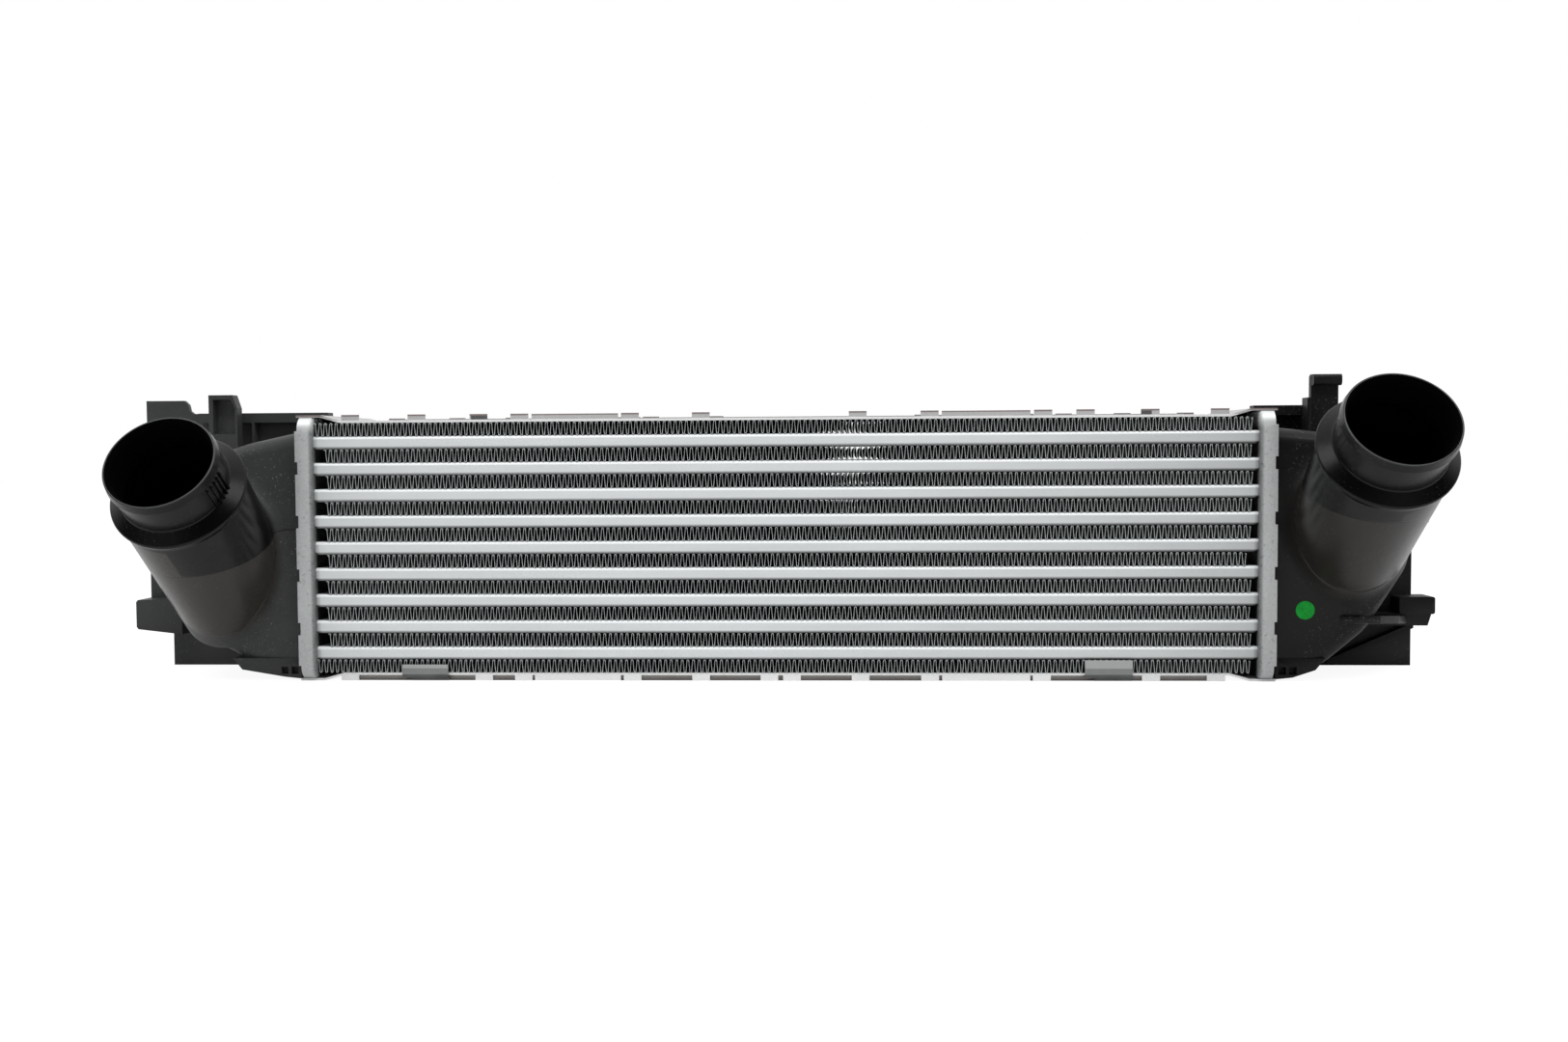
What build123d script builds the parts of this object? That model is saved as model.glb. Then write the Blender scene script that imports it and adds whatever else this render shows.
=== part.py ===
from build123d import *
from math import cos, radians, sin, sqrt, tan
import os

os.makedirs("parts", exist_ok=True)

# Charge-air cooler: a brazed aluminium core between two crimped plastic tanks.
# X runs along the tubes, -Y is the face that the outside air meets and +Z is up.
# The origin lies under the middle of the core, on the surface that it stands on.
# All sizes are in millimetres. "Left" is the -X end.

# ---- core ----
core_length = 505.0          # between the floors of the two header plates
core_depth = 85.0            # along the outside air
tube_count = 9
tube_height = 7.0
tube_wall = 0.6
tube_nose_radius = 1.6       # rounded long edges of a tube
tube_end_reach = 1.3         # how far a tube end stands proud of the header floor
fin_height = 7.28            # between two tubes
fin_fold_count = 118         # legs in one fin row
fin_sheet = 0.28
fin_end_gap = 5.0            # from the header floor to the first fold
outer_fin_end_gap = 2.0      # the top and bottom rows reach nearer to the headers
turbulator_fold_count = 14   # legs across the inside of one tube
turbulator_sheet = 0.3
turbulator_end_gap = 6.0     # the tube's open end past the turbulator
turbulator_side_gap = 2.5    # from the tube's nose to the first fold

# ---- header plates ----
header_end_margin = 3.1      # of the pan's edge over the top fin row and under the lowest
header_wall = 1.2
header_floor = 1.5
header_overhang = 4.5        # front and rear of the tubes
header_pan_depth = 8.7       # from the floor's core side to the outside of the folded tabs
header_corner_radius = 7.0
header_floor_chamfer = 1.1   # where the floor turns into the pan's walls
crimp_tab_reach = 3.4        # how far the tabs fold in over the tank's foot, wall included
crimp_notch_width = 6.8
crimp_notch_depth = 1.3
crimp_notch_pitch = 29.0
crimp_corner_relief = 7.5    # no tab this near to the pan's corners
braze_gap = 0.05             # round a tube in its slot

# ---- side plates ----
side_sheet = 1.2
side_bead_width = 46.0
side_bead_end_gap = 32.5     # from the header floor
side_bead_heights = {"top": 1.0, "bottom": 3.1}   # the lower bead stands on the floor
side_step_start_gap = 14.5   # before the header floor the sheet starts to rise to its height
side_step_end_gap = 3.5
side_tab_width = 9.5
side_tab_height = 3.1
side_strip_part = 0.185      # a long strip's width, as part of the core's half length
side_strip_height = 2.9
side_edge_inset = 0.4        # the sheet's edge behind the tube faces
side_strip_place = 0.435     # places along the sheet, as parts of the core's half length
side_tab_places = {          # the lower sheet has none where the clips sit
    "top": (-0.92, -0.776, -0.642, -0.554, -0.317, -0.166, 0.166, 0.317, 0.554, 0.642, 0.776, 0.92),
    "bottom": (-0.93, -0.638, -0.552, -0.317, -0.17, -0.024, 0.024, 0.17, 0.317, 0.552, 0.78, 0.915),
}

# ---- gaskets ----
gasket_width = 2.2
gasket_height = 2.2
gasket_side_gap = 0.2
seat_gap = 0.1               # between gasket, header floor and foot

# ---- tanks ----
tank_wall = 3.0
tank_setback = 6.5           # from the header's front face to the chamber's front wall
tank_edge_radius = 8.0
foot_thickness = 3.5
foot_side_gap = 0.3
foot_lap = 0.5               # the chamber starts inside the foot
foot_opening_margin = 2.4    # above the top tube and below the lowest
foot_opening_radius = 6.0
pocket_lip_height = 12.0     # the lip under the chamber's front edge, with its pockets
pocket_lip_depth = 12.0
pocket_width = 4.0
pocket_depth = 4.0
pocket_rib = 1.6

# ---- necks: each is a straight spigot that points forwards and up ----
neck_tilt = 35.93            # degrees above the horizontal
neck_radius = 27.5
neck_wall = 2.3
neck_lip_step = 0.6          # how far the lip stands out from the spigot
neck_lip_length = 3.2
neck_length = 19.8           # from the mouth to the foot of the cone
neck_cone_end = 24.2
shoulder_step = 6.7          # from the spigot out to the shoulder
shoulder_end = 25.8
horn_start = 29.2
horn_step = 1.8              # from the shoulder in to the horn
horn_end = 126.0             # along the neck's axis from the mouth, inside the chamber
horn_blend_radius = 8.0      # of the hollow curve from the horn to the front wall
skirt_overlap = 0.4          # how deep that curve starts inside the horn
skirt_stretch = 1.24         # of the curve above and below the slanted horn
skirt_lift = 0.72
mouth_out = 78.3             # from the chamber's front wall to the middle of the mouth
stop_rib_height = 1.2        # short ribs in front of the cone, on the left neck
stop_rib_width = 1.6

# ---- rear flange of each tank, with its brackets and pegs ----
flange_thickness = 3.0
flange_face = 18.5           # its front face, behind the middle of the core
flange_header_gap = 2.8      # from the header's folded tabs
hem_height = 5.5             # the thicker strip along the flange's top
hem_depth = 6.0
upright_front = -1.0         # front face of the uprights on top of the tanks
channel_width = 16.5
channel_wall = 2.6
channel_depth = 7.0
channel_chamfer = 2.5
hook_width = 15.0
hook_sheet = 4.0
hook_roll_height = 6.2
hook_roll_depth = 9.0
peg_front = 14.0             # how far the pegs stand in front of the flange
peg_height = 17.0
ledge_height = 6.6
gusset_height = 3.0
gusset_depth = 5.0

# ---- small pieces ----
clip_sheet = 1.0
clip_width = 25.0
clip_face_gap = 0.3          # in front of the tubes
clip_leg_depth = 14.0
clip_places = {"left": -0.764, "right": 0.691}   # as parts of the core's half length
clip_flap_heights = {"left": 5.8, "right": 8.2}
mark_radius = 4.9
mark_thickness = 0.25
mark_from_header = 16.4
mark_height = 37.6

# ---- worked out from the sizes above ----
pitch = tube_height + fin_height
fin_row_count = tube_count + 1
stack_height = tube_count * tube_height + fin_row_count * fin_height
header_height = stack_height + 2 * header_end_margin
middle_z = header_height / 2 + side_sheet
stack_bottom = middle_z - stack_height / 2
header_inner = core_length / 2
header_outer = header_inner + header_pan_depth
header_half_depth = core_depth / 2 + header_overhang
pan_floor_top = header_inner + header_floor
lip_inner_face = header_outer - header_wall
foot_start = pan_floor_top + gasket_height + 2 * seat_gap
foot_end = foot_start + foot_thickness
tank_start = foot_end - foot_lap
tank_half_depth = header_half_depth - tank_setback
tank_front = -tank_half_depth
flange_back = flange_face + flange_thickness
header_top = middle_z + header_height / 2
edge = header_outer          # outlines of the tanks are measured from here along X
shoulder_radius = neck_radius + shoulder_step
horn_start_radius = shoulder_radius - horn_step
mouth_rise = mouth_out * tan(radians(neck_tilt))     # of the mouth over the horn's base

# Where the two tanks differ. Outlines are (distance from the middle, height) pairs.
TANKS = {
    "left": {
        "mouth": (edge + 40.4, tank_front - mouth_out, middle_z - 9.5 + mouth_rise),
        "horn_end_radii": (horn_start_radius - 0.9, 0.2465 * header_height),
        "horn_end_shift": 4.6,               # outwards, from the neck's axis
        "body": ((tank_start, 5.5), (edge + 27, 8.0), (edge + 53, 21.0), (edge + 77, 50.0),
                 (edge + 77, header_top - 29), (edge + 31, header_top - 14), (tank_start, header_top - 7)),
        "body_corners": (0, 24.0, 26.0, 24.0, 18.0, 30.0, 0),
        "flange": ((edge, 0), (edge + 99.6, 0), (edge + 99.6, 22.0), (edge + 112.6, 22.0),
                   (edge + 112.6, header_top + 11.9), (edge + 90.1, header_top + 11.9),
                   (edge + 87.6, header_top + 9.5), (edge + 86.8, header_top + 5.9),
                   (edge + 84.7, header_top + 4.2),
                   (edge, header_top + 4.2)),
        "hem_end": edge + 79.0,
        "lip_length": 38.0,
    },
    "right": {
        "mouth": (edge + 37.8, tank_front - mouth_out, middle_z + 7.3 + mouth_rise),
        "horn_end_radii": (horn_start_radius - 1.9, 0.2077 * header_height),
        "horn_end_shift": 2.6,
        "body": ((tank_start, 5.5), (edge + 25, 6.0), (edge + 50, 27.0), (edge + 72, 62.0),
                 (edge + 72, header_top - 27), (edge + 31, header_top - 12), (tank_start, header_top - 8.5)),
        "body_corners": (0, 22.0, 34.0, 24.0, 20.0, 30.0, 0),
        "flange": ((edge, 0), (edge + 92.8, 0), (edge + 92.8, header_top - 21),
                   (edge + 69, header_top + 4.2), (edge, header_top + 4.2)),
        "hem_end": edge + 30.0,
        "lip_length": 26.0,
    },
}


# ---- helpers ----
def prism_y(points, y_low, y_high, radii=0):
    """An outline in X and Z, its corners rounded where radii says so, between two depths."""
    line = FilletPolyline(*points, radius=radii, close=True) if radii else Polyline(*points, close=True)
    face = Plane.XZ * make_face(line)
    return Pos(0, y_high, 0) * extrude(face, y_high - y_low, dir=(0, -1, 0))


def prism_x(width, height, radius, x_low, x_high):
    """A rounded rectangle across the core's middle, between two places along X."""
    face = Plane.YZ * RectangleRounded(width, height, radius)
    return Pos(x_low, 0, middle_z) * extrude(face, x_high - x_low, dir=(1, 0, 0))


def box_between(x_range, y_range, z_range):
    """A box from its low and high place on each axis."""
    (x0, x1), (y0, y1), (z0, z1) = x_range, y_range, z_range
    return Pos((x0 + x1) / 2, (y0 + y1) / 2, (z0 + z1) / 2) * Box(x1 - x0, y1 - y0, z1 - z0)


def folds(length, height, count, sheet):
    """The closed outline of a corrugated sheet that touches both faces of its gap."""
    step = length / count
    half_sheet = sheet * ((step ** 2 + height ** 2) ** 0.5) / step / 2
    line = [(-length / 2 + i * step, (height / 2 - half_sheet) * (-1) ** i) for i in range(count + 1)]
    lower = [(along, up - half_sheet) for along, up in line]
    upper = [(along, up + half_sheet) for along, up in reversed(line)]
    return lower + upper


def on_side(side, shape):
    """Shapes are drawn for the +X end; the left one is their mirror image."""
    return shape if side == "right" else mirror(shape, about=Plane.YZ)


# ---- core ----
def tube_z(index):
    """Height of a tube's middle; tube 0 is the lowest."""
    return stack_bottom + fin_height + tube_height / 2 + index * pitch


def tube_section(grow=0.0):
    return RectangleRounded(core_depth + 2 * grow, tube_height + 2 * grow, tube_nose_radius + grow)


def tube(index):
    """A flat tube, open at both ends, through the slots of both header plates."""
    half_length = pan_floor_top + tube_end_reach
    inside = Rectangle(core_depth - 2 * tube_wall, tube_height - 2 * tube_wall)
    shape = extrude(Plane.YZ * (tube_section() - inside), half_length, both=True)
    return Pos(0, 0, tube_z(index)) * shape


def fin_row(index):
    """One corrugated sheet, as deep as the tubes; row 0 lies under the lowest tube."""
    outer = index in (0, fin_row_count - 1)
    half_length = header_inner - (outer_fin_end_gap if outer else fin_end_gap)
    outline = folds(2 * half_length, fin_height, fin_fold_count, fin_sheet)
    middle = stack_bottom + fin_height / 2 + index * pitch
    return Pos(0, 0, middle) * prism_y(outline, -core_depth / 2, core_depth / 2)


def turbulator(index):
    """The corrugated sheet inside a tube, with its folds along the charge air's way."""
    width = core_depth - 2 * tube_wall - 2 * turbulator_side_gap
    outline = folds(width, tube_height - 2 * tube_wall, turbulator_fold_count, turbulator_sheet)
    half_length = pan_floor_top + tube_end_reach - turbulator_end_gap
    shape = extrude(Plane.YZ * make_face(Polyline(*outline, close=True)), half_length, both=True)
    return Pos(0, 0, tube_z(index)) * shape


# ---- header plates ----
def crimp_gaps():
    """What is cut out of the pan's folded edge to leave separate tabs."""
    x_range = (header_outer - crimp_notch_depth, header_outer + 1)
    gaps = Part()
    for place in (-1.5, -0.5, 0.5, 1.5):
        z = middle_z + place * crimp_notch_pitch
        gaps += box_between(x_range, (-header_half_depth - 1, header_half_depth + 1),
                            (z - crimp_notch_width / 2, z + crimp_notch_width / 2))
    half_height = header_height / 2
    relief_y = header_half_depth - crimp_corner_relief
    relief_z = half_height - crimp_corner_relief
    for y_side in (-1, 1):
        for z_side in (-1, 1):
            y_range = sorted((y_side * relief_y, y_side * (header_half_depth + 1)))
            z_range = sorted((middle_z + z_side * relief_z, middle_z + z_side * (half_height + 1)))
            gaps += box_between(x_range, y_range, z_range)
    gaps += box_between(x_range, (-crimp_notch_width / 2, crimp_notch_width / 2),
                        (middle_z - half_height - 1, middle_z + half_height + 1))
    return gaps


def header_plate(side):
    """A drawn pan: slotted floor, walls round the tank's foot, edge folded in as tabs."""
    depth = 2 * header_half_depth
    pan = prism_x(depth, header_height, header_corner_radius, header_inner, header_outer)
    floor_rim = pan.faces().sort_by(Axis.X)[0].edges()
    pan = chamfer(floor_rim, header_floor_chamfer)
    inside = prism_x(depth - 2 * header_wall, header_height - 2 * header_wall,
                     header_corner_radius - header_wall, pan_floor_top, lip_inner_face)
    mouth = prism_x(depth - 2 * crimp_tab_reach, header_height - 2 * crimp_tab_reach,
                    header_corner_radius - crimp_tab_reach, lip_inner_face - 0.5, header_outer + 1)
    slots = Part()
    for index in range(tube_count):
        slot = extrude(Plane.YZ * tube_section(braze_gap), header_floor + 2)
        slots += Pos(header_inner - 1, 0, tube_z(index)) * slot
    return on_side(side, pan - inside - mouth - slots - crimp_gaps())


# ---- side plates ----
def side_sheet_outline():
    """The upper sheet from end to end: flat over the fins, stepped up over the headers."""
    low = stack_bottom + stack_height
    high = header_top
    half = [(header_inner - side_step_start_gap, low), (header_inner - side_step_end_gap, high),
            (header_outer + 0.8, high)]
    under = [(-x, z) for x, z in reversed(half)] + half
    over = [(x, z + side_sheet) for x, z in reversed(under)]
    return under + over


def side_plate(side):
    """A stepped sheet with a raised bead along its middle and upright tabs on its edges."""
    half_width = core_depth / 2 - side_edge_inset
    top = stack_bottom + stack_height + side_sheet
    plate = prism_y(side_sheet_outline(), -half_width, half_width)
    crown = top + side_bead_heights[side]
    plate = plate + side_bead(0, top - side_sheet, crown)
    plate = plate - side_bead(side_sheet, top - side_sheet, crown - side_sheet)
    for place in side_tab_places[side]:
        plate += edge_tabs(place * header_inner, side_tab_width, side_tab_height, half_width, top)
    for place in (-side_strip_place, side_strip_place):
        plate += edge_tabs(place * header_inner, side_strip_part * header_inner, side_strip_height,
                           half_width, top)
    return plate if side == "top" else Pos(0, 0, 2 * middle_z) * mirror(plate, about=Plane.XY)


def side_bead(inset, low, high):
    """The bead's outer form, or with an inset of the sheet its hollow underneath."""
    length = core_length - 2 * side_bead_end_gap
    outline = RectangleRounded(length - 2 * inset, side_bead_width - 2 * inset,
                               side_bead_width / 4 - inset)
    return Pos(0, 0, low) * extrude(outline, high - low)


def edge_tabs(x, width, height, half_width, top):
    """A pair of upright tabs, on the sheet's front edge and on its rear edge."""
    tabs = Part()
    for y_side in (-1, 1):
        y_range = sorted((y_side * half_width, y_side * (half_width - side_sheet)))
        tabs += box_between((x - width / 2, x + width / 2), y_range, (top - side_sheet / 2, top + height))
    return tabs


# ---- gaskets ----
def gasket(side):
    """The seal ring between the header's floor and the tank's foot."""
    outer_width = 2 * (header_half_depth - header_wall - gasket_side_gap)
    outer_height = header_height - 2 * (header_wall + gasket_side_gap)
    radius = header_corner_radius - header_wall - gasket_side_gap
    x_low = pan_floor_top + seat_gap
    x_high = x_low + gasket_height
    ring = prism_x(outer_width, outer_height, radius, x_low, x_high)
    ring -= prism_x(outer_width - 2 * gasket_width, outer_height - 2 * gasket_width,
                    radius - gasket_width, x_low - 1, x_high + 1)
    return on_side(side, ring)


# ---- tanks ----
def tank_body(spec, inset):
    """The chamber's outer form, or with an inset of the wall its hollow."""
    line = FilletPolyline(*spec["body"], radius=spec["body_corners"], close=True)
    face = make_face(line)
    if inset:
        face = offset(face, -inset, kind=Kind.INTERSECTION)
    depth = tank_half_depth - inset
    body = Pos(0, depth, 0) * extrude(Plane.XZ * face, 2 * depth, dir=(0, -1, 0))
    rims = body.edges().filter_by(lambda edge: edge.bounding_box().size.Y < 0.01)
    rims = rims.filter_by(lambda edge: edge.bounding_box().size.X > 0.01)
    return chamfer(rims, inset) if inset else fillet(rims, tank_edge_radius)


def neck_place(spec, distance, shift=0.0):
    """The plane across a neck at a distance behind its mouth, facing out of the mouth."""
    x, y, z = spec["mouth"]
    tilt = radians(neck_tilt)
    origin = (x + shift, y + distance * cos(tilt), z - distance * sin(tilt))
    return Plane(origin=origin, x_dir=(1, 0, 0), z_dir=(0, -cos(tilt), sin(tilt)))


def horn(spec, inset):
    """The slightly flared duct from the shoulder down into the chamber."""
    start = neck_place(spec, horn_start - inset / 2) * Circle(horn_start_radius - inset)
    across, along = spec["horn_end_radii"]
    end = neck_place(spec, horn_end, spec["horn_end_shift"]) * Ellipse(across - inset, along - inset)
    return loft([start, end])


def horn_skirt(spec):
    """The hollow curve round the horn's base, through ellipses parallel to the front wall."""
    x, y, z = spec["mouth"]
    tilt = radians(neck_tilt)
    across, along = spec["horn_end_radii"]
    sections = []
    for rise in (1.0, 0.65, 0.35, 0.12, -0.1):
        height = rise * horn_blend_radius
        spread = horn_blend_radius * (1 - sqrt(1 - (1 - max(rise, 0)) ** 2)) - skirt_overlap * rise
        distance = (mouth_out - height) / cos(tilt)
        part = (distance - horn_start) / (horn_end - horn_start)
        wide = horn_start_radius + part * (across - horn_start_radius)
        tall = (horn_start_radius + part * (along - horn_start_radius)) / cos(tilt)
        # the wedge over the slanted horn is the sharper one, so the curve is longer there
        centre = (x + part * spec["horn_end_shift"], tank_front - height,
                  z - distance * sin(tilt) + spread * skirt_lift)
        plane = Plane(origin=centre, x_dir=(1, 0, 0), z_dir=(0, -1, 0))
        sections.append(plane * Ellipse(wide + spread, tall + spread * skirt_stretch))
    outline = make_face(FilletPolyline(*spec["body"], radius=spec["body_corners"], close=True))
    front = Plane.XZ * offset(outline, -tank_edge_radius / 2, kind=Kind.INTERSECTION)
    reach = Pos(0, tank_front + tank_wall, 0) * extrude(front, 3 * horn_blend_radius, dir=(0, -1, 0))
    return loft(sections) & reach


def neck(spec):
    """Lip, spigot, cone and shoulder, turned about the neck's axis."""
    neck_lip_radius = neck_radius + neck_lip_step
    outline = [(0, 0.8), (neck_lip_radius - 0.9, 0.8), (neck_lip_radius, -0.2),
               (neck_lip_radius, -neck_lip_length), (neck_radius, -neck_lip_length - 0.8),
               (neck_radius, -neck_length), (shoulder_radius, -neck_cone_end),
               (shoulder_radius, -shoulder_end), (horn_start_radius, -horn_start),
               (horn_start_radius - neck_wall, -horn_start - 1), (0, -horn_start - 1)]
    face = Plane.XZ * make_face(Polyline(*outline, close=True))
    return neck_place(spec, 0).location * revolve(face, Axis.Z)


def neck_bore(spec):
    """The hollow of the neck, opening out to the horn's hollow."""
    bore = neck_radius - neck_wall
    wide = horn_start_radius - tank_wall
    outline = [(0, 2), (bore, 2), (bore, -neck_length), (wide, -neck_cone_end - 2),
               (wide, -horn_start - 1), (0, -horn_start - 1)]
    face = Plane.XZ * make_face(Polyline(*outline, close=True))
    return neck_place(spec, 0).location * revolve(face, Axis.Z)


def foot():
    """The tank's flat rim, held down in the header pan by the folded tabs."""
    clearance = header_wall + foot_side_gap
    return prism_x(2 * (header_half_depth - clearance), header_height - 2 * clearance,
                   header_corner_radius - clearance, foot_start, foot_end)


def flange(spec):
    """The flat flange across the rear half of the tank, clear of the header pan."""
    plate = prism_y(spec["flange"], flange_face, flange_back)
    header_room = box_between((header_outer - 1, header_outer + flange_header_gap),
                              (flange_face - 1, flange_back + 1), (-1, header_top + 20))
    return plate - header_room


def flange_hem(spec):
    """The thicker strip along the flange's top, and the small rib that stands under it."""
    x_range = (header_outer + flange_header_gap, spec["hem_end"])
    top = header_top + 4.2
    hem = box_between(x_range, (flange_face - hem_depth, flange_face + 1), (top - hem_height, top))
    rib_x = header_outer + 46.0
    rib = box_between((rib_x, rib_x + pocket_rib), (flange_face - hem_depth, flange_face + 1),
                      (header_top - 20, top - hem_height / 2))
    return hem + rib


def foot_pockets(spec):
    """The lip under the chamber's front edge beside the header, with two open pockets."""
    x0 = header_outer + 1.0
    front = tank_front - 0.4
    x1 = x0 + spec["lip_length"]
    lip = prism_y(((x0, 0.9), (x0 + 9, 1.8), (x1 - 5, 5.8), (x1, pocket_lip_height), (x0, pocket_lip_height)),
                  front, front + pocket_lip_depth)
    for number in (0, 1):
        x = x0 + pocket_rib + number * (pocket_width + pocket_rib)
        lip -= box_between((x, x + pocket_width), (front - 1, front + pocket_depth), (3.4, 7.4))
    return lip


def channel_upright():
    """The left tank's channel, open to the front: back, two walls and a top, one corner cut."""
    x0 = header_outer + 50.5
    x1 = x0 + channel_width
    top = header_top + 14.2
    foot_z = header_top - 38.0
    back = upright_front + channel_depth
    outline = ((x0, foot_z), (x1, foot_z), (x1, top), (x0 + channel_chamfer, top),
               (x0, top - 3 * channel_chamfer))
    channel = prism_y(outline, upright_front, back)
    left, right, ceiling = x0 + channel_wall / 2, x1 - channel_wall, top - channel_wall
    recess = ((left, foot_z + 30), (right, foot_z + 30), (right, ceiling),
              (x0 + channel_chamfer + 1, ceiling), (left, top - 3 * channel_chamfer))
    return channel - prism_y(recess, upright_front - 1, back - channel_wall / 2)


def hook_upright():
    """The right tank's flat upright with its rolled top, and the thin rib beside it."""
    x0 = header_outer + 32.0
    foot_z = header_top - 32.0
    top = header_top + 20.9
    back = upright_front + 6 + hook_sheet
    plate = box_between((x0, x0 + hook_width), (back - hook_sheet, back), (foot_z, top - 1))
    roll = box_between((x0 + 0.1, x0 + hook_width + 0.5), (back - hook_roll_depth, back),
                       (top - hook_roll_height, top))
    roll = fillet(roll.edges().filter_by(Axis.X), hook_roll_height / 3)
    rib = box_between((x0 - 3.6, x0 - 1.6), (upright_front, back), (foot_z, header_top + 8))
    web = box_between((x0 - 2, x0 + 1), (back - hook_sheet, back), (foot_z, header_top + 6))
    return plate + roll + rib + web


def left_pegs():
    """The tapered peg on the left tank's flange."""
    x1 = header_outer + 115.0
    z0 = 22.6
    outline = ((x1 - 27, z0 - 3), (x1 - 1, z0), (x1, z0 + 1.4), (x1, z0 + peg_height - 1.2),
               (x1 - 1, z0 + peg_height), (x1 - 27, z0 + peg_height + 0.8))
    return prism_y(outline, flange_face - peg_front, flange_back)


def right_pegs():
    """The right tank's ledge with the block on its end, and the gusset under it."""
    front = flange_face - peg_front
    x1 = header_outer + 101.0
    z0 = 24.2
    ledge = prism_y(((x1 - 58, z0), (x1 - 4, z0), (x1 - 2, z0 + ledge_height), (x1 - 58, z0 + ledge_height)),
                    front, flange_face + 1)
    block = box_between((x1 - 19.5, x1), (front, flange_back), (z0 + ledge_height - 0.2, z0 + 16))
    block = fillet(block.edges().filter_by(Axis.Y), 1.2)
    gusset = prism_y(((x1 - 56, 0.9), (x1 - 8.5, 21.8), (x1 - 8.5, 21.8 + gusset_height),
                      (x1 - 56, 0.9 + gusset_height)), flange_face - gusset_depth, flange_face + 1)
    nib = prism_y(((x1 - 10, 77.0), (x1 + 1, 81.0), (x1 + 3, 88.0), (x1 - 10, 92.0)),
                  flange_face, flange_back)
    return ledge + block + gusset + nib


def stop_ribs(spec):
    """Three short ribs along the left neck, in front of its cone, that stop the hose."""
    ribs = Part()
    for angle in (18.0, 28.0, 38.0):
        rib = box_between((neck_radius - 1, neck_radius + stop_rib_height),
                          (-stop_rib_width / 2, stop_rib_width / 2),
                          (-neck_cone_end + 2, -neck_lip_length - 4))
        ribs += Rot(0, 0, 180 + angle) * rib
    return neck_place(spec, 0).location * ribs


def tank(side):
    """One moulding: chamber, inclined horn and neck, foot, flange, uprights and pegs."""
    spec = TANKS[side]
    chamber = tank_body(spec, 0)
    duct = horn(spec, 0)
    shell = chamber + duct + horn_skirt(spec)
    shell = shell + neck(spec) + foot() + flange(spec) + flange_hem(spec) + foot_pockets(spec)
    if side == "left":
        shell = shell + channel_upright() + left_pegs() + stop_ribs(spec)
    else:
        shell = shell + hook_upright() + right_pegs()
    opening_width = 2 * (tank_half_depth - tank_wall)
    opening_height = tube_count * pitch - fin_height + 2 * foot_opening_margin
    opening = prism_x(opening_width, opening_height, foot_opening_radius,
                      foot_start - 1, foot_end + tank_wall + 2)
    hollow = tank_body(spec, tank_wall) + horn(spec, tank_wall) + neck_bore(spec) + opening
    return on_side(side, shell - hollow)


# ---- small pieces ----
def air_guide_clip(side):
    """A folded clip on the lower side plate: a flap before the fins and a leg underneath."""
    place = clip_places[side] * header_inner
    leg_top = stack_bottom - side_sheet
    front = -core_depth / 2 - clip_face_gap - clip_sheet
    x_range = (place - clip_width / 2, place + clip_width / 2)
    flap = box_between(x_range, (front, front + clip_sheet),
                       (leg_top - clip_sheet, leg_top + clip_flap_heights[side]))
    leg = box_between(x_range, (front, front + clip_leg_depth), (leg_top - clip_sheet, leg_top))
    lip = box_between((place - clip_width * 0.3, place + clip_width * 0.5),
                      (front + 1, front + 7), (0.3, leg_top - clip_sheet))
    return flap + leg + lip


def inspection_mark():
    """A small round paper mark on the right tank's front wall."""
    disc = extrude(Plane.XZ * Circle(mark_radius), mark_thickness, dir=(0, -1, 0))
    return Pos(header_outer + mark_from_header, tank_front, mark_height) * disc


# ---- write one file for each piece ----
def pieces():
    for index in range(tube_count):
        yield f"tube_{index + 1}", tube(index)
        yield f"turbulator_{index + 1}", turbulator(index)
    for index in range(fin_row_count):
        yield f"fin_row_{index + 1}", fin_row(index)
    for side in ("left", "right"):
        yield f"header_plate_{side}", header_plate(side)
        yield f"gasket_{side}", gasket(side)
        yield f"tank_{side}", tank(side)
    for side in ("top", "bottom"):
        yield f"side_plate_{side}", side_plate(side)
    for side in ("left", "right"):
        yield f"air_guide_clip_{side}", air_guide_clip(side)
    yield "inspection_mark", inspection_mark()


for name, shape in pieces():
    export_step(shape, f"parts/{name}.step")
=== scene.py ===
# %% [markdown]
# # A charge-air cooler in the studio
# The CAD model gives every solid its place and size in metres. This script gives it its looks:
# the folded fin strips, the bright rolled tubes, the moulded grain of the black tanks, the light
# and the camera. Each step says first what the thing is, and then how it is made in Blender.

import math

import bmesh
import bpy
from mathutils import Matrix, Vector, noise


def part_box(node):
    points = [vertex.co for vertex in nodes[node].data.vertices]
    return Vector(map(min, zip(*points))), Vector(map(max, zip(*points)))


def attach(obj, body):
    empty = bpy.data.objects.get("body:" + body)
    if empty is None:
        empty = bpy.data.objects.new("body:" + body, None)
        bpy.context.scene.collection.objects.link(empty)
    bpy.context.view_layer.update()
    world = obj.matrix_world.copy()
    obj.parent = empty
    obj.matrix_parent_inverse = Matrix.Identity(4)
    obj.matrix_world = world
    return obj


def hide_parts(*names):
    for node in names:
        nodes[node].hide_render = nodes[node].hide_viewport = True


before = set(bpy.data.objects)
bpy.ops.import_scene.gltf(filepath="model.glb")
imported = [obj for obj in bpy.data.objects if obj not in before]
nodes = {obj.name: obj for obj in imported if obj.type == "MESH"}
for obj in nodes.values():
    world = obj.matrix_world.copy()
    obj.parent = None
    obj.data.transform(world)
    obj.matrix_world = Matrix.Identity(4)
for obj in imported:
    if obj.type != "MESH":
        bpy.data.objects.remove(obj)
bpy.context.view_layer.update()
MM = 0.001

# %% [markdown]
# ## Shader maths as plain Python
# A material is a tree of nodes, and writing it link by link hides what it works out. This small
# class wraps one socket. Arithmetic on it adds the Math nodes, so a mask reads like a formula, and
# `add` makes any other node from its type, its settings and what goes into its sockets.

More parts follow.
